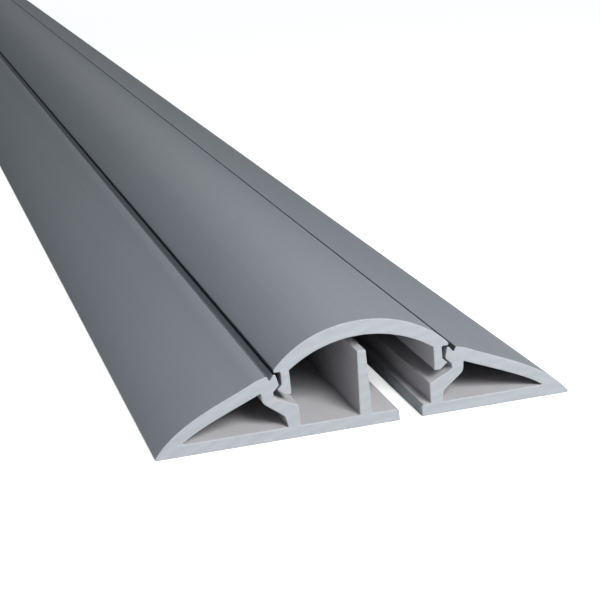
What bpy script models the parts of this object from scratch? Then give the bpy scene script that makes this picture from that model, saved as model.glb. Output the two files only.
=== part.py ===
"""Two-channel floor cable protector: an extruded base with hollow wings and a clip-in arched cover.

Frame: +X across the strip, +Y along it, +Z up, origin at the middle of the underside, in metres.
The section is drawn in millimetres, as (x, height) corners with the radius of their rounding.
"""

import math

import bmesh
import bpy
from mathutils import Matrix, Vector
from mathutils.geometry import interpolate_bezier

MM = 0.001

# Driving dimensions of the strip, in millimetres
LENGTH = 1000.0
HALF_WIDTH = 40.0
FLOOR = 2.3

# Divider between the two channels
DIVIDER_TOP = 14.7
DIVIDER_TOP_HALF = 0.85
DIVIDER_FOOT_HALF = 1.2

# Channel wall and the ledge at its top
CHANNEL_HALF = 12.6
CHANNEL_WALL_TOP = 6.3
LEDGE_START = (13.3, 6.5)
LEDGE_END = (16.5, 8.0)

# Hook on the inner edge of a wing
RECESS_X = 17.15
RECESS_LOW = 8.5
RECESS_HIGH = 9.4
NOSE_X = 16.05
NOSE_LOW = 10.5
NOSE_HIGH = 10.9
HOOK_TOP = 12.7
HOOK_TOP_X = (16.5, 16.9)

# Groove between a hook and the wing's walking surface
GROOVE_FOOT = (17.65, 11.55)
WING_CORNER = (18.2, 12.55)

# Wing's walking surface: one Bezier sweep from the corner down to the tip
WING_TOP = ((20.0, 12.1), (27.0, 8.8), (35.5, 6.4), (HALF_WIDTH, 0.4))
TIP_THICKNESS = 0.2

# Hollow inside a wing, from its outer tip round by the channel wall
HOLLOW_TIP = 34.4
HOLLOW_TOP = ((HOLLOW_TIP + 0.3, FLOOR + 0.15), (31.5, 4.9), (25.0, 7.2), (19.5, 9.55))
HOLLOW_SHOULDER = (19.35, 7.6)
HOLLOW_KNEE = (15.3, 4.4)
HOLLOW_FOOT = 14.9
SHOULDER_RADIUS = 1.6
KNEE_RADIUS = 1.3

# Cover
CROWN_TOP = 20.5
CROWN_UNDER = 17.6
COVER_TOP = ((0.0, CROWN_TOP), (6.5, CROWN_TOP), (12.4, 18.2), (16.7, 13.7))
COVER_EDGE = 13.6
ARCH_CORNER = (13.85, 13.1)
LEG_OUTER = 15.45
LEG_INNER = 13.75
LEG_BOTTOM = 8.6
LEG_TOE = 14.9
COVER_NOSE = (16.35, 9.75)
COVER_NECK = 10.6
LIP_TIP = 16.75
LIP_UNDER = 13.05

# Open-ended slot in the floor of the right channel, at the near end
SLOT_LEFT = 6.4
SLOT_WIDTH = 4.4
SLOT_LENGTH = 40.0
SLOT_OVERRUN = 1.0

# Rounding of the corners that the die leaves
SHARP = 0.0
CRISP = 0.1
FINE = 0.15
EASED = 0.2
SOFT = 0.3
ROUND = 0.4

# Smoothness of the rounded stretches
SWEEP_STEPS = 14
ARCH_STEPS = 8
ARC_STEP = math.radians(20.0)
WELD_DISTANCE = 0.00001

# Turn that stands a section drawn flat up across the strip
UPRIGHT = (math.pi / 2.0, 0.0, 0.0)

# Finish: grey PVC, in linear colour
PVC_GREY = (0.17, 0.18, 0.20, 1.0)
PVC_ROUGHNESS = 0.45


def sweep(control_points, steps):
    """Points on a cubic Bezier curve, without its last point, as square corners."""
    knots = [Vector((x, z, 0.0)) for x, z in control_points]
    points = interpolate_bezier(*knots, steps + 1)
    return [(point.x, point.y, SHARP) for point in points[:-1]]


def arc_through(start, crown, steps):
    """Points on the circle through start, crown and start mirrored, from start up to the crown."""
    rise = crown[1] - start[1]
    radius = (start[0] ** 2 + rise ** 2) / (2.0 * rise)
    full_angle = math.asin(start[0] / radius)
    points = []
    for step in range(steps + 1):
        angle = full_angle * (1.0 - step / steps)
        points.append((radius * math.sin(angle), crown[1] - radius * (1.0 - math.cos(angle)), SHARP))
    return points


def rounded(corners):
    """Flat points of an outline whose corners are (x, height, radius)."""
    points = []
    for index, (x, z, radius) in enumerate(corners):
        here = Vector((x, z))
        if radius == SHARP:
            points.append(here)
            continue
        before = (Vector(corners[index - 1][:2]) - here).normalized()
        after = (Vector(corners[(index + 1) % len(corners)][:2]) - here).normalized()
        half_corner = before.angle(after) / 2.0
        centre = here + (before + after).normalized() * (radius / math.sin(half_corner))
        first = here + before * (radius / math.tan(half_corner)) - centre
        last = here + after * (radius / math.tan(half_corner)) - centre
        turn = first.angle_signed(last)
        steps = max(1, math.ceil(abs(turn) / ARC_STEP))
        for step in range(steps + 1):
            points.append(centre + Matrix.Rotation(-turn * step / steps, 2) @ first)
    return points


def mirrored(right_half):
    """The other half of an outline, in the order that carries the right half on across the middle."""
    return [(-x, z, radius) for x, z, radius in reversed(right_half)]


def base_right_half():
    """Corners of the base's outer outline from the divider's top to the wing's tip."""
    corners = [
        (DIVIDER_TOP_HALF, DIVIDER_TOP, EASED),
        (DIVIDER_FOOT_HALF, FLOOR, SOFT),
        (CHANNEL_HALF, FLOOR, SOFT),
        (CHANNEL_HALF, CHANNEL_WALL_TOP, SOFT),
        (*LEDGE_START, SOFT),
        (*LEDGE_END, ROUND),
        (RECESS_X, RECESS_LOW, EASED),
        (RECESS_X, RECESS_HIGH, EASED),
        (NOSE_X, NOSE_LOW, FINE),
        (NOSE_X, NOSE_HIGH, FINE),
        (HOOK_TOP_X[0], HOOK_TOP, CRISP),
        (HOOK_TOP_X[1], HOOK_TOP, CRISP),
        (*GROOVE_FOOT, FINE),
        (*WING_CORNER, EASED),
    ]
    corners += sweep(WING_TOP, SWEEP_STEPS)
    corners += [
        (*WING_TOP[-1], SHARP),
        (HALF_WIDTH, TIP_THICKNESS, SHARP),
        (HALF_WIDTH - TIP_THICKNESS, 0.0, SHARP),
    ]
    return corners


def hollow_outline():
    """Corners of the hollow in the right wing, from its tip over the top and down the inner wall."""
    corners = sweep(HOLLOW_TOP, SWEEP_STEPS)
    corners += [
        (*HOLLOW_TOP[-1], EASED),
        (*HOLLOW_SHOULDER, SHOULDER_RADIUS),
        (*HOLLOW_KNEE, KNEE_RADIUS),
        (HOLLOW_FOOT, FLOOR, EASED),
        (HOLLOW_TIP, FLOOR, CRISP),
    ]
    return corners


def cover_right_half():
    """Corners of the cover's outline from the crown's top round the leg to the crown's underside."""
    corners = sweep(COVER_TOP, SWEEP_STEPS)
    corners += [
        (LIP_TIP, COVER_EDGE, CRISP),
        (LIP_TIP, LIP_UNDER, FINE),
        (LEG_OUTER, LIP_UNDER, ROUND),
        (LEG_OUTER, COVER_NECK, SOFT),
        (*COVER_NOSE, FINE),
        (LEG_TOE, LEG_BOTTOM, SOFT),
        (LEG_INNER, LEG_BOTTOM, SOFT),
    ]
    return corners + arc_through(ARCH_CORNER, (0.0, CROWN_UNDER), ARCH_STEPS)


def extruded(name, outlines, thickness, rotation=(0.0, 0.0, 0.0)):
    """A closed solid from flat outlines in millimetres, the first outside and the rest holes."""
    curve = bpy.data.curves.new(name, "CURVE")
    curve.dimensions = "2D"
    curve.fill_mode = "BOTH"
    curve.extrude = thickness / 2.0 * MM
    for outline in outlines:
        spline = curve.splines.new("POLY")
        spline.points.add(len(outline) - 1)
        for spline_point, point in zip(spline.points, outline):
            spline_point.co = (point[0] * MM, point[1] * MM, 0.0, 1.0)
        spline.use_cyclic_u = True
    drawing = bpy.data.objects.new(name + "_drawing", curve)
    drawing.rotation_euler = rotation
    bpy.context.scene.collection.objects.link(drawing)
    bpy.context.view_layer.update()
    depsgraph = bpy.context.evaluated_depsgraph_get()
    mesh = bpy.data.meshes.new_from_object(drawing.evaluated_get(depsgraph))
    mesh.name = name
    welded = bmesh.new()
    welded.from_mesh(mesh)
    bmesh.ops.remove_doubles(welded, verts=welded.verts, dist=WELD_DISTANCE)
    bmesh.ops.recalc_face_normals(welded, faces=welded.faces)
    welded.to_mesh(mesh)
    welded.free()
    solid = bpy.data.objects.new(name, mesh)
    solid.matrix_world = drawing.matrix_world
    bpy.data.objects.remove(drawing)
    return solid


def pvc(name, colour):
    """A matt plastic of one colour."""
    material = bpy.data.materials.new(name)
    material.use_nodes = True
    shader = material.node_tree.nodes["Principled BSDF"]
    shader.inputs["Base Color"].default_value = colour
    shader.inputs["Roughness"].default_value = PVC_ROUGHNESS
    shader.inputs["Metallic"].default_value = 0.0
    return material


def make_slot_cutter(collection):
    """A bar with a round inner end that cuts the open-ended slot through the floor."""
    radius = SLOT_WIDTH / 2.0
    left = SLOT_LEFT
    right = SLOT_LEFT + SLOT_WIDTH
    start = -LENGTH / 2.0 - SLOT_OVERRUN
    end = -LENGTH / 2.0 + SLOT_LENGTH
    corners = [(left, start, SHARP), (right, start, SHARP), (right, end, radius), (left, end, radius)]
    cutter = extruded("slot_cutter", [rounded(corners)], 2.0 * (FLOOR + SLOT_OVERRUN))
    cutter.hide_render = True
    cutter.display_type = "WIRE"
    collection.objects.link(cutter)
    return cutter


def make_base(collection, cutters):
    """Floor, hollow wings, hooks and divider as one extrusion, with the slot cut through the floor."""
    right_half = base_right_half()
    outer = rounded(right_half + mirrored(right_half))
    right_hollow = hollow_outline()
    outlines = [outer, rounded(right_hollow), rounded(mirrored(right_hollow))]
    base = extruded("base", outlines, LENGTH, UPRIGHT)
    base.data.materials.append(pvc("base_pvc", PVC_GREY))
    collection.objects.link(base)
    slot = base.modifiers.new("slot", "BOOLEAN")
    slot.operation = "DIFFERENCE"
    slot.solver = "EXACT"
    slot.object = make_slot_cutter(cutters)
    return base


def make_cover(collection):
    """Arched lid with its lips and hooked legs as one extrusion."""
    right_half = cover_right_half()
    outline = right_half + mirrored(right_half[:-1])[:-1]
    cover = extruded("cover", [rounded(outline)], LENGTH, UPRIGHT)
    cover.data.materials.append(pvc("cover_pvc", PVC_GREY))
    collection.objects.link(cover)
    return cover


def main():
    for old in list(bpy.data.objects):
        bpy.data.objects.remove(old)
    collection = bpy.data.collections.new("cable_protector")
    cutters = bpy.data.collections.new("cutters")
    bpy.context.scene.collection.children.link(collection)
    bpy.context.scene.collection.children.link(cutters)
    make_base(collection, cutters)
    make_cover(collection)


main()
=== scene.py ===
"""A floor cable protector: a grey PVC base strip with hollow wings, and the arched cover clipped into it.

Frame: +X across the strip, +Y along it away from the slotted end, +Z up, origin at the middle of the
underside, in metres. Sections are drawn in millimetres, as (x, height) corners with the radius of
their rounding.
"""

import math

import bmesh
import bpy
from bpy.props import FloatProperty, FloatVectorProperty, PointerProperty
from mathutils import Matrix, Vector
from mathutils.geometry import interpolate_bezier


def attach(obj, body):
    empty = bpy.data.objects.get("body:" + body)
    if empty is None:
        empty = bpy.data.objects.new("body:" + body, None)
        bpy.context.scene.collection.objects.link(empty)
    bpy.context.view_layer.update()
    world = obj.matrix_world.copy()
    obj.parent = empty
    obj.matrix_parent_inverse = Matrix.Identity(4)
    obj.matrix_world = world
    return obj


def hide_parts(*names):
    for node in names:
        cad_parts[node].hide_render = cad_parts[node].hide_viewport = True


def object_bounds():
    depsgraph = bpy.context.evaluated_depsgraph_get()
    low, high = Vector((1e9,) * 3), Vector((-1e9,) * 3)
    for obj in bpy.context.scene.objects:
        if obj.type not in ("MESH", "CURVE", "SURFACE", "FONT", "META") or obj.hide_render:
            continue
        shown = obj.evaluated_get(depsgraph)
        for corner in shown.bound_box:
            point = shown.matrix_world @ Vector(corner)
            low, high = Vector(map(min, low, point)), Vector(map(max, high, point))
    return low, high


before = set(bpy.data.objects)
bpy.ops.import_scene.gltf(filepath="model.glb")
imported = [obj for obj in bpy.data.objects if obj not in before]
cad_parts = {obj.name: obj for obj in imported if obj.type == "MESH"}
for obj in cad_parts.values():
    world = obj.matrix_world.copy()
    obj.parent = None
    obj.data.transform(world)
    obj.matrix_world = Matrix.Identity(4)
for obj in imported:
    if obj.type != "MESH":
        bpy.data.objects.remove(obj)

bl_info = {
    "name": "Floor cable protector",
    "version": (1, 0, 0),
    "blender": (4, 5, 0),
    "location": "3D View > Sidebar > Cable Protector",
    "description": "Models a two-channel floor strip with its clip-in cover, and the studio around it",
    "category": "Object",
}

MM = 0.001
CAD_LOW, CAD_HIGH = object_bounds()

# Base: floor plate and divider
HALF_WIDTH = 40.0
FLOOR = 2.3
DIVIDER_TOP = 14.7
DIVIDER_TOP_HALF = 0.85
DIVIDER_FOOT_HALF = 1.2

# Base: channel wall and the ledge at its top
CHANNEL_HALF = 12.6
CHANNEL_WALL_TOP = 6.3
LEDGE_START = (13.3, 6.5)
LEDGE_END = (16.5, 8.0)

# Base: hook on the inner edge of a wing
RECESS_X = 17.15
RECESS_LOW = 8.5
RECESS_HIGH = 9.4
NOSE_X = 16.05
NOSE_LOW = 10.5
NOSE_HIGH = 10.9
HOOK_TOP = 12.7
HOOK_TOP_X = (16.5, 16.9)

# Base: groove beside the hook, then the wing's walking surface as one sweep down to its tip
GROOVE_FOOT = (17.65, 11.55)
WING_CORNER = (18.2, 12.55)
WING_TOP = ((20.0, 12.1), (27.0, 8.8), (35.5, 6.4), (HALF_WIDTH, 0.4))
TIP_THICKNESS = 0.2

# Base: hollow inside a wing, from its outer tip round by the channel wall
HOLLOW_TIP = 34.4
HOLLOW_TOP = ((HOLLOW_TIP + 0.3, FLOOR + 0.15), (31.5, 4.9), (25.0, 7.2), (19.5, 9.55))
HOLLOW_SHOULDER = (19.35, 7.6)
HOLLOW_KNEE = (15.3, 4.4)
HOLLOW_FOOT = 14.9
SHOULDER_RADIUS = 1.6
KNEE_RADIUS = 1.3

# Cover: arch, lips and hooked legs
CROWN_TOP = 20.5
CROWN_UNDER = 17.6
COVER_TOP = ((0.0, CROWN_TOP), (6.5, CROWN_TOP), (12.4, 18.2), (16.7, 13.7))
COVER_EDGE = 13.6
ARCH_CORNER = (13.85, 13.1)
LEG_OUTER = 15.45
LEG_INNER = 13.75
LEG_BOTTOM = 8.6
LEG_TOE = 14.9
COVER_NOSE = (16.35, 9.75)
COVER_NECK = 10.6
LIP_TIP = 16.75
LIP_UNDER = 13.05

# Left edge of the open-ended slot in the floor of the right channel, and how far its cutter overruns
SLOT_LEFT = 6.4
SLOT_OVERRUN = 1.0

# Rounding of the corners that the die leaves
SHARP = 0.0
FINE = 0.2
SOFT = 0.3
ROUND = 0.4

# Smoothness of the rounded stretches
SWEEP_STEPS = 28
ARCH_STEPS = 24
ARC_STEP = math.radians(12.0)
FEWEST_ARC_STEPS = 2
SLOT_END_STEPS = 12
SMOOTH_ANGLE = math.radians(28.0)

# How near counts as touching: for corners and planes in metres, for walls in millimetres
WELD_DISTANCE = 0.000002
AT_PLANE = 0.00001
AT_WALL = 0.15

# Order of the finishes on both strips; the inner colour is painted light, the groove colour painted shade,
# the rim colour partly a painted highlight
SKIN, INNER_PAINTED_LIGHT, GROOVE_PAINTED_SHADE, SAWN, RIM_HIGHLIGHT = range(5)

# Least share of a face's normal that points along the strip on a sawn end and on its rim, or inwards or down
END_FACING = 0.99
RIM_FACING = 0.3
FACING = 0.1

# How far a sawn end's faces lie from the end at most, in widths of its rim
RIM_REACH = 1.5

# Line that parts a wing's hollow from its outer skin: its start, its height there and its fall
WING_CORE_START = 19.5
WING_CORE_HEIGHT = 10.8
WING_CORE_FALL = 0.43

# Places of the colour sockets on a Mix node
MIX_FIRST = 6
MIX_SECOND = 7
MIX_RESULT = 2

# Closeness of the marks in the finishes, in marks per metre, along X, Y and Z where they differ
DIE_LINES = (1500.0, 2.5, 1500.0)
BROAD_BANDS = (110.0, 1.2, 110.0)
MOTTLING = 45.0
GRAIN = 5200.0
DUST = 900.0
SAW_WANDER = 260.0
CHIPS = 3800.0
NICKS = 1400.0

# Marks of the saw blade: the distance between its arcs, their centre, and how far they wander in radians
SAW_PITCH = 0.00055
BLADE_CENTRE = (0.03, 0.0, -0.125)
WANDER_TURN = 9.0

# Depth of the relief in metres
LINE_DEPTH = 0.00004
DUST_DEPTH = 0.00003
SAW_DEPTH = 0.00003
NICK_DEPTH = 0.00004

# Darkest and lightest shade in each finish, as shares of its plain colour
SKIN_SHADES = (0.86, 1.14)
# The groove's shades are painted shade, far darker than the skin, standing for the shadow in the groove
GROOVE_PAINTED_SHADES = (0.05, 0.22)
SAWN_SHADES = (0.90, 1.10)
RIM_SHADES = (0.78, 1.15)

# Roughness of what has none in the settings, and how much rougher the inner skin and grooves are
SAWN_ROUGHNESS = 0.55
RIM_ROUGHNESS = 0.45
FLOOR_ROUGHNESS = 0.8
DULLER = 0.12

# Index of refraction of every surface
REFRACTION = 1.53

# Camera at the angle of the photograph
CAMERA_PLACE = (-0.07869, -0.79586, 0.10794)
CAMERA_TURN = (74.8274, 5.0047, -14.3104)
CAMERA_LENS = 104.65
CAMERA_NEAREST = 0.01

# Studio: places and sizes in metres, then the tones of the floor's glow and of the surroundings
FLOOR_SIZE = 14.0
NEAR_END = (0.0, -0.45, 0.01)
FAR_END = (0.0, 0.4, 0.01)
KEY_PLACE = (0.12, -0.96, 0.34)
KEY_SIZE = 0.22
BACK_PLACE = (0.3, 0.95, 0.9)
BACK_SIZE = 0.6
BLACK = (0.0, 0.0, 0.0)
WHITE = (1.0, 1.0, 1.0)
SKY_SIDE = (0.45, 0.50, 0.56)
SKY_SEEN = (0.80, 0.82, 0.84)
SKY_TOP = (0.92, 0.96, 1.0)
SKY_TOP_HEIGHT = 0.8


class StripSizes(bpy.types.PropertyGroup):
    """Sizes of the strip that a user may change."""

    length: FloatProperty(
        name="Length",
        description="Length of both strips",
        default=CAD_HIGH[1] - CAD_LOW[1],
        unit="LENGTH",
        subtype="DISTANCE",
    )
    edge_break: FloatProperty(
        name="Edge break",
        description="Width of the bevel that deburring leaves around the sawn ends",
        default=0.15 * MM,
        unit="LENGTH",
        subtype="DISTANCE",
        precision=5,
    )
    slot_width: FloatProperty(
        name="Slot width",
        description="Width of the fixing slot in the floor",
        default=4.4 * MM,
        unit="LENGTH",
        subtype="DISTANCE",
        precision=4,
    )
    slot_length: FloatProperty(
        name="Slot length",
        description="Length of the fixing slot, from the sawn end",
        default=40.0 * MM,
        unit="LENGTH",
        subtype="DISTANCE",
        precision=4,
    )
    slot_bevel: FloatProperty(
        name="Slot bevel",
        description="Width of the bevel along the slot's upper edge",
        default=0.35 * MM,
        unit="LENGTH",
        subtype="DISTANCE",
        precision=5,
    )


class StripFinish(bpy.types.PropertyGroup):
    """Colours and gloss of the PVC."""

    skin: FloatVectorProperty(
        name="Skin",
        description="Colour of the extruded surface",
        default=(0.208, 0.226, 0.248),
        subtype="COLOR",
        size=3,
        min=0.0,
        max=1.0,
    )
    # Painted light: the channels and hollows get a paler copy of the skin's colour, standing for the light
    # that reaches into them
    inner: FloatVectorProperty(
        name="Inner skin",
        description="Colour of the channels and hollows, which cooled slowly and stayed dull",
        default=(0.395, 0.388, 0.402),
        subtype="COLOR",
        size=3,
        min=0.0,
        max=1.0,
    )
    sawn: FloatVectorProperty(
        name="Sawn face",
        description="Colour of the sawn ends and of the slot's wall",
        default=(0.242, 0.259, 0.277),
        subtype="COLOR",
        size=3,
        min=0.0,
        max=1.0,
    )
    # Partly a painted highlight: the rim is paler than the sawn face, for scraping and for the bright line
    # that light draws along the sawn edges
    rim: FloatVectorProperty(
        name="Deburred rim",
        description="Colour of the bevelled rim of the sawn ends",
        default=(0.31, 0.328, 0.345),
        subtype="COLOR",
        size=3,
        min=0.0,
        max=1.0,
    )
    roughness: FloatProperty(
        name="Roughness",
        description="Roughness of the extruded surface",
        default=0.58,
        min=0.0,
        max=1.0,
        subtype="FACTOR",
    )


class StudioLook(bpy.types.PropertyGroup):
    """Floor and lights."""

    floor: FloatVectorProperty(
        name="Floor",
        description="Colour of the floor",
        default=(0.86, 0.87, 0.88),
        subtype="COLOR",
        size=3,
        min=0.0,
        max=1.0,
    )
    key_power: FloatProperty(
        name="Key light",
        description="Power of the main light",
        default=5.8,
        unit="POWER",
    )
    back_power: FloatProperty(
        name="Back light",
        description="Power of the light for the far end",
        default=2.2,
        unit="POWER",
    )
    sky: FloatProperty(
        name="Surrounding light",
        description="Strength of the light from all round",
        default=0.27,
        min=0.0,
    )
    floor_glow: FloatProperty(
        name="Floor glow",
        description="How much brighter the camera sees the floor than the lights make it",
        default=0.6,
        min=0.0,
    )


class Value:
    """A shader socket that sums, products and differences can be written with."""

    def __init__(self, sheet, socket):
        self.sheet = sheet
        self.socket = socket

    def __add__(self, other):
        return self.sheet.math("ADD", self, other)

    def __radd__(self, other):
        return self.sheet.math("ADD", other, self)

    def __sub__(self, other):
        return self.sheet.math("SUBTRACT", self, other)

    def __rsub__(self, other):
        return self.sheet.math("SUBTRACT", other, self)

    def __mul__(self, other):
        return self.sheet.math("MULTIPLY", self, other)

    def __rmul__(self, other):
        return self.sheet.math("MULTIPLY", other, self)


class Sheet:
    """The node tree of a finish or of the surroundings."""

    def __init__(self, tree):
        self.tree = tree

    def node(self, kind, settings=None, inputs=None, output=0):
        """Add a node: its settings first, then the values or links of its sockets."""
        made = self.tree.nodes.new(kind)
        for name, setting in (settings or {}).items():
            if name == "stops":
                self.set_stops(made.color_ramp, setting)
            else:
                setattr(made, name, setting)
        for name, value in (inputs or {}).items():
            if isinstance(value, Value):
                self.tree.links.new(value.socket, made.inputs[name])
            else:
                made.inputs[name].default_value = value
        return None if output is None else Value(self, made.outputs[output])

    def set_stops(self, ramp, stops):
        """Give a colour ramp its (position, colour) stops."""
        while len(ramp.elements) < len(stops):
            ramp.elements.new(1.0)
        for element, (position, colour) in zip(ramp.elements, stops):
            element.position = position
            element.color = (*colour, 1.0)

    def math(self, operation, *values):
        """The result of a sum or function of numbers and values."""
        return self.node("ShaderNodeMath", {"operation": operation}, dict(enumerate(values)))

    def place(self):
        """The point on the piece, in metres."""
        return self.node("ShaderNodeTexCoord", output="Object")

    def noise(self, place, spacing, detail=2.0):
        """Noise from 0 to 1 with so many marks per metre, alike or not along X, Y and Z."""
        if not isinstance(spacing, tuple):
            spacing = (spacing, spacing, spacing)
        spread = self.node("ShaderNodeVectorMath", {"operation": "MULTIPLY"}, {0: place, 1: spacing})
        return self.node("ShaderNodeTexNoise", {}, {"Vector": spread, "Scale": 1.0, "Detail": detail})

    def blend(self, factor, first, second):
        """A colour between two."""
        inputs = {0: factor, MIX_FIRST: (*first, 1.0), MIX_SECOND: (*second, 1.0)}
        return self.node("ShaderNodeMix", {"data_type": "RGBA"}, inputs, MIX_RESULT)

    def shades(self, factor, colour, darkest, lightest):
        """A colour that runs from its darkest to its lightest shade."""
        return self.blend(factor, scaled(colour, darkest), scaled(colour, lightest))

    def bump(self, height, depth, strength):
        """A normal from a height of 0 to 1 that stands for this depth in metres."""
        return self.node("ShaderNodeBump", {}, {"Height": height, "Distance": depth, "Strength": strength})


def scaled(colour, factor):
    """A lighter or darker version of a colour."""
    return tuple(channel * factor for channel in colour)


def finish_named(name, colour, roughness):
    """A material with its plain colour and roughness, its surface, and the sheet for its nodes."""
    material = bpy.data.materials.new(name)
    material.use_nodes = True
    surface = material.node_tree.nodes["Principled BSDF"]
    surface.inputs["Base Color"].default_value = (*colour, 1.0)
    surface.inputs["Roughness"].default_value = roughness
    surface.inputs["IOR"].default_value = REFRACTION
    return material, surface, Sheet(material.node_tree)


def connect(sheet, surface, **values):
    """Link values to the surface's sockets, with spaces for the underscores of their names."""
    for name, value in values.items():
        sheet.tree.links.new(value.socket, surface.inputs[name.replace("_", " ")])


# Where marks are mixed, their shares add up to one
def skin_finish(name, skin, base_roughness):
    """Satin skin as it leaves the die: fine lines along the strip, broad bands and a faint grain."""
    material, surface, sheet = finish_named(name, skin, base_roughness)
    place = sheet.place()
    lines = sheet.noise(place, DIE_LINES, detail=1.0)
    bands = sheet.noise(place, BROAD_BANDS)
    mottle = sheet.noise(place, MOTTLING, detail=4.0)
    grain = sheet.noise(place, GRAIN, detail=1.0)
    tone = 0.4 * bands + 0.25 * mottle + 0.35 * lines
    colour = sheet.shades(tone, skin, *SKIN_SHADES)
    roughness = base_roughness - 0.10 + 0.12 * bands + 0.08 * grain
    relief = sheet.bump(0.7 * lines + 0.3 * grain, LINE_DEPTH, 0.6)
    connect(sheet, surface, Base_Color=colour, Roughness=roughness, Normal=relief)
    return material


def groove_painted_shade_finish(name, skin, base_roughness):
    """Skin in the grooves beside the cover, darkened as painted shade: darkest at the bottom, with a speckle
    of dust.
    """
    material, surface, sheet = finish_named(name, skin, base_roughness)
    place = sheet.place()
    height = sheet.node("ShaderNodeSeparateXYZ", {}, {0: place}, "Z")
    dust = sheet.noise(place, DUST, detail=3.0)
    foot = GROOVE_FOOT[1] * MM
    # Painted shade: the colour darkens from the hook's top down to the groove's foot
    rise = (height - foot) * (1.0 / (HOOK_TOP * MM - foot))
    colour = sheet.shades(0.7 * rise + 0.3 * dust, skin, *GROOVE_PAINTED_SHADES)
    roughness = base_roughness + 0.2 * dust
    relief = sheet.bump(dust, DUST_DEPTH, 0.5)
    connect(sheet, surface, Base_Color=colour, Roughness=roughness, Normal=relief)
    return material


def sawn_finish(name, sawn):
    """Sawn PVC: paler than the skin and matt, with the faint arcs of the blade's teeth."""
    material, surface, sheet = finish_named(name, sawn, SAWN_ROUGHNESS)
    place = sheet.place()
    between = {0: place, 1: BLADE_CENTRE}
    reach = sheet.node("ShaderNodeVectorMath", {"operation": "DISTANCE"}, between, "Value")
    wander = sheet.noise(place, SAW_WANDER)
    chips = sheet.noise(place, CHIPS)
    turns = reach * (math.tau / SAW_PITCH) + WANDER_TURN * wander
    arcs = 0.5 + 0.5 * sheet.math("SINE", turns)
    tone = 0.35 * arcs + 0.35 * wander + 0.3 * chips
    colour = sheet.shades(tone, sawn, *SAWN_SHADES)
    roughness = SAWN_ROUGHNESS - 0.05 + 0.15 * chips
    relief = sheet.bump(0.6 * arcs + 0.4 * chips, SAW_DEPTH, 0.4)
    connect(sheet, surface, Base_Color=colour, Roughness=roughness, Normal=relief)
    return material


def rim_highlight_finish(name, rim):
    """Bevelled rim of a sawn end, paler where scraped and brighter still as a painted highlight, with small
    nicks.
    """
    material, surface, sheet = finish_named(name, rim, RIM_ROUGHNESS)
    nicks = sheet.noise(sheet.place(), NICKS, detail=3.0)
    colour = sheet.shades(nicks, rim, *RIM_SHADES)
    roughness = RIM_ROUGHNESS - 0.1 + 0.2 * nicks
    relief = sheet.bump(nicks, NICK_DEPTH, 0.5)
    connect(sheet, surface, Base_Color=colour, Roughness=roughness, Normal=relief)
    return material


def finishes(finish):
    """The finishes of a strip in the order of their slots, made once and shared."""
    makers = {
        "pvc_skin": lambda name: skin_finish(name, finish.skin, finish.roughness),
        # The inner colour is painted light, a paler copy of the skin
        "pvc_inner_painted_light": lambda name: skin_finish(name, finish.inner, finish.roughness + DULLER),
        # The groove colour is painted shade
        "pvc_groove_painted_shade": lambda name: groove_painted_shade_finish(name, finish.skin, finish.roughness + DULLER),
        "pvc_sawn": lambda name: sawn_finish(name, finish.sawn),
        # The rim colour is partly a painted highlight
        "pvc_rim_painted_highlight": lambda name: rim_highlight_finish(name, finish.rim),
    }
    return [bpy.data.materials.get(name) or maker(name) for name, maker in makers.items()]


def sweep(control_points, steps):
    """Points on a cubic Bezier curve, without its last point, as square corners."""
    knots = [Vector((x, z, 0.0)) for x, z in control_points]
    points = interpolate_bezier(*knots, steps + 1)
    return [(point.x, point.y, SHARP) for point in points[:-1]]


def arc_to_crown(start, crown_height, steps):
    """Points on the circle through start, the crown and start mirrored, from start up to the crown."""
    rise = crown_height - start[1]
    radius = (start[0] ** 2 + rise ** 2) / (2.0 * rise)
    full_angle = math.asin(start[0] / radius)
    points = []
    for step in range(steps + 1):
        angle = full_angle * (1.0 - step / steps)
        points.append((radius * math.sin(angle), crown_height - radius * (1.0 - math.cos(angle)), SHARP))
    return points


def rounded(corners):
    """Flat points of an outline whose corners are (x, height, radius)."""
    points = []
    for index, (x, z, radius) in enumerate(corners):
        here = Vector((x, z))
        if radius == SHARP:
            points.append(here)
            continue
        before = (Vector(corners[index - 1][:2]) - here).normalized()
        after = (Vector(corners[(index + 1) % len(corners)][:2]) - here).normalized()
        half_corner = before.angle(after) / 2.0
        centre = here + (before + after).normalized() * (radius / math.sin(half_corner))
        first = here + before * (radius / math.tan(half_corner)) - centre
        last = here + after * (radius / math.tan(half_corner)) - centre
        turn = first.angle_signed(last)
        steps = max(FEWEST_ARC_STEPS, math.ceil(abs(turn) / ARC_STEP))
        for step in range(steps + 1):
            points.append(centre + Matrix.Rotation(-turn * step / steps, 2) @ first)
    return points


def base_right_half():
    """Corners of the base's outline from the divider's top, round the right wing, to under the divider."""
    corners = [
        (0.0, DIVIDER_TOP, SHARP),
        (DIVIDER_TOP_HALF, DIVIDER_TOP, FINE),
        (DIVIDER_FOOT_HALF, FLOOR, SOFT),
        (CHANNEL_HALF, FLOOR, SOFT),
        (CHANNEL_HALF, CHANNEL_WALL_TOP, SOFT),
        (*LEDGE_START, SOFT),
        (*LEDGE_END, ROUND),
        (RECESS_X, RECESS_LOW, FINE),
        (RECESS_X, RECESS_HIGH, FINE),
        (NOSE_X, NOSE_LOW, FINE),
        (NOSE_X, NOSE_HIGH, FINE),
        (HOOK_TOP_X[0], HOOK_TOP, FINE),
        (HOOK_TOP_X[1], HOOK_TOP, FINE),
        (*GROOVE_FOOT, FINE),
        (*WING_CORNER, FINE),
    ]
    corners += sweep(WING_TOP, SWEEP_STEPS)
    corners += [
        (*WING_TOP[-1], SHARP),
        (HALF_WIDTH, TIP_THICKNESS, SHARP),
        (HALF_WIDTH - TIP_THICKNESS, 0.0, SHARP),
        (0.0, 0.0, SHARP),
    ]
    return corners


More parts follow.
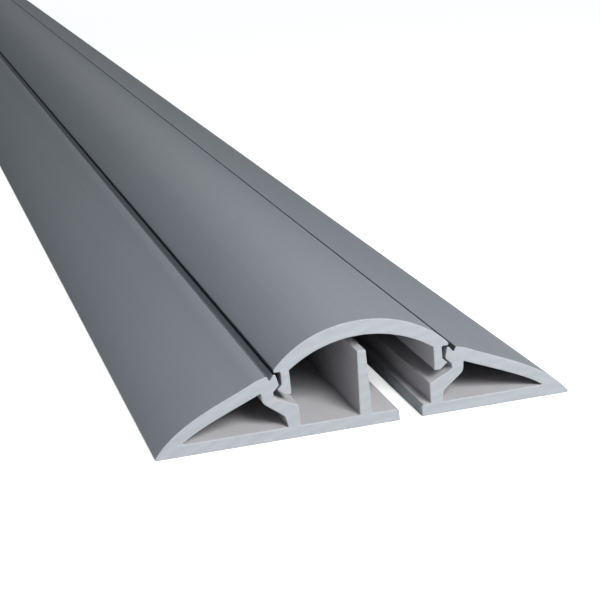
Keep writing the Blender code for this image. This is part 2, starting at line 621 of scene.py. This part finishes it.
def hollow_corners():
    """Corners of the hollow in the right wing, from its tip over the top and down the inner wall."""
    corners = sweep(HOLLOW_TOP, SWEEP_STEPS)
    corners += [
        (*HOLLOW_TOP[-1], FINE),
        (*HOLLOW_SHOULDER, SHOULDER_RADIUS),
        (*HOLLOW_KNEE, KNEE_RADIUS),
        (HOLLOW_FOOT, FLOOR, FINE),
        (HOLLOW_TIP, FLOOR, FINE),
    ]
    return corners


def cover_right_half():
    """Corners of the cover's outline from the crown's top, round the right leg, to the crown's underside."""
    corners = sweep(COVER_TOP, SWEEP_STEPS)
    corners += [
        (LIP_TIP, COVER_EDGE, FINE),
        (LIP_TIP, LIP_UNDER, FINE),
        (LEG_OUTER, LIP_UNDER, ROUND),
        (LEG_OUTER, COVER_NECK, SOFT),
        (*COVER_NOSE, FINE),
        (LEG_TOE, LEG_BOTTOM, SOFT),
        (LEG_INNER, LEG_BOTTOM, SOFT),
    ]
    return corners + arc_to_crown(ARCH_CORNER, CROWN_UNDER, ARCH_STEPS)


def select(kind, test=None):
    """In edit mode, select only the corners, edges or faces that pass a test, or all of them."""
    bpy.ops.mesh.select_mode(type=kind)
    bpy.ops.mesh.select_all(action="DESELECT" if test else "SELECT")
    if not test:
        return
    mesh = bpy.context.edit_object.data
    shape = bmesh.from_edit_mesh(mesh)
    for element in {"VERT": shape.verts, "EDGE": shape.edges, "FACE": shape.faces}[kind]:
        if test(element):
            element.select_set(True)
    shape.select_flush_mode()
    bmesh.update_edit_mesh(mesh)


def draw_line(points, near_end):
    """In edit mode, draw a chain of edges through flat points in millimetres, at the near end."""
    stops = [Vector((x * MM, near_end, z * MM)) for x, z in points]
    bpy.ops.mesh.select_all(action="DESELECT")
    bpy.ops.mesh.primitive_plane_add(size=MM, location=stops[0])
    bpy.ops.mesh.merge(type="CENTER")
    for before, after in zip(stops, stops[1:]):
        bpy.ops.mesh.extrude_vertices_move(TRANSFORM_OT_translate={"value": after - before})


def apply_modifier(piece, kind, **settings):
    """Add a modifier with its settings and apply it."""
    modifier = piece.modifiers.new(kind.lower(), kind)
    for name, setting in settings.items():
        setattr(modifier, name, setting)
    bpy.ops.object.modifier_apply(modifier=modifier.name)


def extrude_section(name, half_outline, right_hollow, sizes):
    """A strip from the right half of its section, with room at each end for the bevelled rim."""
    near_end = -sizes.length / 2.0 + sizes.edge_break
    bpy.ops.object.select_all(action="DESELECT")
    bpy.ops.object.add(type="MESH")
    strip = bpy.context.object
    strip.name = name
    strip.data.name = name
    bpy.ops.object.mode_set(mode="EDIT")
    bpy.ops.mesh.select_mode(type="VERT")
    draw_line(rounded(half_outline), near_end)
    if right_hollow:
        hollow = rounded(right_hollow)
        draw_line(hollow + hollow[:1], near_end)
    bpy.ops.object.mode_set(mode="OBJECT")
    apply_modifier(strip, "MIRROR", merge_threshold=WELD_DISTANCE)
    bpy.ops.object.mode_set(mode="EDIT")
    select("VERT")
    bpy.ops.mesh.remove_doubles(threshold=WELD_DISTANCE)
    bpy.ops.mesh.fill(use_beauty=True)
    select("FACE")
    length_of_skin = sizes.length - 2.0 * sizes.edge_break
    bpy.ops.mesh.extrude_region_move(TRANSFORM_OT_translate={"value": (0.0, length_of_skin, 0.0)})
    select("FACE")
    bpy.ops.mesh.normals_make_consistent(inside=False)
    bpy.ops.object.mode_set(mode="OBJECT")
    return strip


def cut_floor_slot(strip, sizes):
    """Cut the open-ended slot with its round inner end, and bevel its upper edge."""
    width = sizes.slot_width
    overrun = SLOT_OVERRUN * MM
    left = SLOT_LEFT * MM
    near = -sizes.length / 2.0
    far = near + sizes.slot_length
    middle = (left + width / 2.0, (near - overrun + far) / 2.0, FLOOR * MM / 2.0)
    bpy.ops.object.select_all(action="DESELECT")
    bpy.ops.mesh.primitive_cube_add(size=1.0, location=middle)
    cutter = bpy.context.object
    cutter.scale = (width, far - near + overrun, FLOOR * MM + 2.0 * overrun)
    bpy.ops.object.transform_apply(location=True, rotation=True, scale=True)

    def at_inner_corner(edge):
        upright = abs(edge.verts[0].co.x - edge.verts[1].co.x) < AT_PLANE
        return upright and all(abs(vert.co.y - far) < AT_PLANE for vert in edge.verts)

    bpy.ops.object.mode_set(mode="EDIT")
    select("EDGE", at_inner_corner)
    bpy.ops.mesh.bevel(offset=width / 2.0 - AT_PLANE, segments=SLOT_END_STEPS, affect="EDGES")
    bpy.ops.object.mode_set(mode="OBJECT")
    bpy.ops.object.select_all(action="DESELECT")
    bpy.context.view_layer.objects.active = strip
    strip.select_set(True)
    apply_modifier(strip, "BOOLEAN", operation="DIFFERENCE", solver="EXACT", object=cutter)
    bpy.ops.object.select_all(action="DESELECT")
    cutter.select_set(True)
    bpy.ops.object.delete()
    bevel_slot_edge(strip, (left, left + width, near + sizes.edge_break, far), sizes.slot_bevel)


def bevel_slot_edge(strip, slot, width):
    """Bevel the slot's upper edge along both sides and round its inner end."""
    left, right, near, far = slot

    def on_upper_edge(edge):
        at_top = all(abs(vert.co.z - FLOOR * MM) < AT_PLANE for vert in edge.verts)
        in_slot = all(left - AT_PLANE < vert.co.x < right + AT_PLANE for vert in edge.verts)
        before_end = all(vert.co.y < far + AT_PLANE for vert in edge.verts)
        on_wall = any(abs(face.normal.z) < FACING for face in edge.link_faces)
        on_sawn_end = all(vert.co.y < near + AT_PLANE for vert in edge.verts)
        return at_top and in_slot and before_end and on_wall and not on_sawn_end

    bpy.context.view_layer.objects.active = strip
    bpy.ops.object.mode_set(mode="EDIT")
    select("EDGE", on_upper_edge)
    bpy.ops.mesh.bevel(offset=width, segments=1, affect="EDGES", clamp_overlap=False)
    bpy.ops.object.mode_set(mode="OBJECT")


def break_end_edges(strip, sizes):
    """Inset both sawn ends so that a narrow bevelled rim runs round them."""
    end = sizes.length / 2.0 - sizes.edge_break

    def on_sawn_end(face):
        at_end = abs(abs(face.calc_center_median().y) - end) < AT_PLANE
        return at_end and abs(face.normal.y) > END_FACING

    bpy.context.view_layer.objects.active = strip
    bpy.ops.object.mode_set(mode="EDIT")
    select("FACE", on_sawn_end)
    bpy.ops.mesh.inset(thickness=sizes.edge_break, depth=sizes.edge_break, use_boundary=True)
    bpy.ops.object.mode_set(mode="OBJECT")


def inside_base(face):
    """Is a face of the base in a channel, under a hook or in a wing's hollow?"""
    x = abs(face.center.x) / MM
    z = face.center.z / MM
    in_channel = x < RECESS_X + AT_WALL and z < NOSE_HIGH
    in_hollow = x < HOLLOW_TOP[0][0] and z < WING_CORE_HEIGHT - WING_CORE_FALL * (x - WING_CORE_START)
    return z > FLOOR - AT_WALL and (in_channel or in_hollow)


def looks_inwards(face):
    """Does a face look towards the middle of the strip?"""
    return face.normal.x * face.center.x < -FACING * abs(face.center.x)


def inside_cover(face):
    """Is a face of the cover under the arch or on the inner side of a leg?"""
    looks_in_or_down = looks_inwards(face) or face.normal.z < -FACING
    return looks_in_or_down and abs(face.center.x) / MM < LEG_INNER + AT_WALL


# Faces that pass this test are painted dark as shade
def in_groove_painted_shade(face):
    """Is a face of the base on a hook's top, or in the groove beside it, at the foot or the outer wall?"""
    x = abs(face.center.x) / MM
    z = face.center.z / MM
    foot_x, foot_z = GROOVE_FOOT
    on_hook_top = HOOK_TOP_X[0] < x < HOOK_TOP_X[1] and z > HOOK_TOP - AT_WALL
    at_foot = abs(x - foot_x) < AT_WALL and NOSE_HIGH < z < foot_z + AT_WALL
    on_outer_wall = foot_x < x < WING_CORNER[0] + AT_WALL and z > foot_z and looks_inwards(face)
    return on_hook_top or at_foot or on_outer_wall


def on_slot_wall(face, sizes):
    """Is a face part of the wall of the slot that is cut in the floor?"""
    low = face.center.z < FLOOR * MM - AT_PLANE and abs(face.normal.z) < END_FACING
    return low and SLOT_LEFT * MM - AT_PLANE < face.center.x < SLOT_LEFT * MM + sizes.slot_width + AT_PLANE


def paint(strip, finish, sizes, inside):
    """Give each face its finish: sawn, a rim that is partly a painted highlight, a groove painted dark as
    shade, or dull inner skin painted paler as light, and satin skin elsewhere.
    """
    for material in finishes(finish):
        strip.data.materials.append(material)
    rim_start = sizes.length / 2.0 - RIM_REACH * sizes.edge_break
    for face in strip.data.polygons:
        at_end = abs(face.center.y) > rim_start
        if at_end and abs(face.normal.y) > END_FACING:
            face.material_index = SAWN
        # The rim's paler colour is partly a painted highlight
        elif at_end and abs(face.normal.y) > RIM_FACING:
            face.material_index = RIM_HIGHLIGHT
        elif on_slot_wall(face, sizes):
            face.material_index = SAWN
        # Groove faces get the painted shade
        elif in_groove_painted_shade(face):
            face.material_index = GROOVE_PAINTED_SHADE
        # Faces in the channels and hollows get the paler inner colour, which is painted light
        elif inside(face):
            face.material_index = INNER_PAINTED_LIGHT
        else:
            face.material_index = SKIN


def shade(strip):
    """Smooth the rounded stretches and keep the true edges."""
    bpy.ops.object.select_all(action="DESELECT")
    strip.select_set(True)
    bpy.context.view_layer.objects.active = strip
    bpy.ops.object.shade_smooth_by_angle(angle=SMOOTH_ANGLE)


class OBJECT_OT_cable_protector_base(bpy.types.Operator):
    """Model the base strip with its hollow wings, hooks, divider and floor slot"""

    bl_idname = "object.cable_protector_base"
    bl_label = "Base strip"

    def execute(self, context):
        sizes = context.scene.strip_sizes
        base = extrude_section("base_strip", base_right_half(), hollow_corners(), sizes)
        cut_floor_slot(base, sizes)
        break_end_edges(base, sizes)
        paint(base, context.scene.strip_finish, sizes, inside_base)
        shade(base)
        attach(base, "base")
        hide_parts("base")
        return {"FINISHED"}


class OBJECT_OT_cable_protector_cover(bpy.types.Operator):
    """Model the arched cover with its lips and hooked legs"""

    bl_idname = "object.cable_protector_cover"
    bl_label = "Cover strip"

    def execute(self, context):
        sizes = context.scene.strip_sizes
        cover = extrude_section("cover_strip", cover_right_half(), None, sizes)
        break_end_edges(cover, sizes)
        paint(cover, context.scene.strip_finish, sizes, inside_cover)
        shade(cover)
        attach(cover, "cover")
        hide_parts("cover")
        return {"FINISHED"}


def lay_floor(look):
    """A plain pale floor under the strip, brighter to the camera than to the strip."""
    bpy.ops.object.select_all(action="DESELECT")
    bpy.ops.mesh.primitive_plane_add(size=FLOOR_SIZE, location=(0.0, 0.0, 0.0))
    floor = bpy.context.object
    floor.name = "studio_floor"
    material, surface, sheet = finish_named("studio_floor", look.floor, FLOOR_ROUGHNESS)
    straight = sheet.node("ShaderNodeLightPath", output="Is Camera Ray")
    connect(sheet, surface, Emission_Color=sheet.blend(straight, BLACK, WHITE))
    surface.inputs["Emission Strength"].default_value = look.floor_glow
    floor.data.materials.append(material)


def hang_light(name, place, target, size, power):
    """A square soft light that faces a point and isn't seen itself."""
    bpy.ops.object.light_add(type="AREA", location=place)
    light = bpy.context.object
    light.name = name
    light.data.size = size
    light.data.energy = power
    light.rotation_euler = (Vector(target) - Vector(place)).to_track_quat("-Z", "Y").to_euler()
    light.visible_camera = False


def light_surroundings(look):
    """Soft light from all round, stronger from above, and a pale backdrop that only the camera sees."""
    world = bpy.data.worlds.new("studio")
    bpy.context.scene.world = world
    world.use_nodes = True
    world.node_tree.nodes.clear()
    sheet = Sheet(world.node_tree)
    direction = sheet.node("ShaderNodeTexCoord", output="Generated")
    height = sheet.node("ShaderNodeSeparateXYZ", {}, {0: direction}, "Z")
    stops = [(0.0, SKY_SIDE), (SKY_TOP_HEIGHT, SKY_TOP)]
    tone = sheet.node("ShaderNodeValToRGB", {"stops": stops}, {0: height})
    glow = sheet.node("ShaderNodeBackground", {}, {"Color": tone, "Strength": look.sky})
    seen = sheet.node("ShaderNodeBackground", {}, {"Color": (*SKY_SEEN, 1.0), "Strength": 1.0})
    straight = sheet.node("ShaderNodeLightPath", output="Is Camera Ray")
    both = sheet.node("ShaderNodeMixShader", {}, {0: straight, 1: glow, 2: seen})
    sheet.node("ShaderNodeOutputWorld", {}, {"Surface": both}, output=None)


def set_camera():
    """The camera at the photograph's viewing angle."""
    turn = [math.radians(angle) for angle in CAMERA_TURN]
    bpy.ops.object.camera_add(location=CAMERA_PLACE, rotation=turn)
    camera = bpy.context.object
    camera.data.lens = CAMERA_LENS
    camera.data.clip_start = CAMERA_NEAREST
    bpy.context.scene.camera = camera


class OBJECT_OT_cable_protector_stage(bpy.types.Operator):
    """Lay the floor, hang the lights and set the camera"""

    bl_idname = "object.cable_protector_stage"
    bl_label = "Studio"

    def execute(self, context):
        look = context.scene.studio_look
        lay_floor(look)
        light_surroundings(look)
        hang_light("key_light", KEY_PLACE, NEAR_END, KEY_SIZE, look.key_power)
        hang_light("back_light", BACK_PLACE, FAR_END, BACK_SIZE, look.back_power)
        set_camera()
        context.scene.view_settings.view_transform = "Standard"
        return {"FINISHED"}


class VIEW3D_PT_cable_protector(bpy.types.Panel):
    """Sizes, finish, studio and the steps that make them"""

    bl_label = "Cable protector"
    bl_space_type = "VIEW_3D"
    bl_region_type = "UI"
    bl_category = "Cable Protector"

    def draw(self, context):
        layout = self.layout
        for settings in (context.scene.strip_sizes, context.scene.strip_finish, context.scene.studio_look):
            for name in settings.__annotations__:
                layout.prop(settings, name)
        for step in STEPS:
            layout.operator(step.bl_idname)


GROUPS = {"strip_sizes": StripSizes, "strip_finish": StripFinish, "studio_look": StudioLook}
STEPS = (OBJECT_OT_cable_protector_base, OBJECT_OT_cable_protector_cover, OBJECT_OT_cable_protector_stage)


def register():
    for group in GROUPS.values():
        bpy.utils.register_class(group)
    for step in (*STEPS, VIEW3D_PT_cable_protector):
        bpy.utils.register_class(step)
    for name, group in GROUPS.items():
        setattr(bpy.types.Scene, name, PointerProperty(type=group))


def unregister():
    for name in GROUPS:
        delattr(bpy.types.Scene, name)
    for step in reversed((*STEPS, VIEW3D_PT_cable_protector)):
        bpy.utils.unregister_class(step)
    for group in reversed(list(GROUPS.values())):
        bpy.utils.unregister_class(group)


def main():
    register()
    bpy.ops.object.cable_protector_base()
    bpy.ops.object.cable_protector_cover()
    bpy.ops.object.cable_protector_stage()


if __name__ == "__main__":
    main()
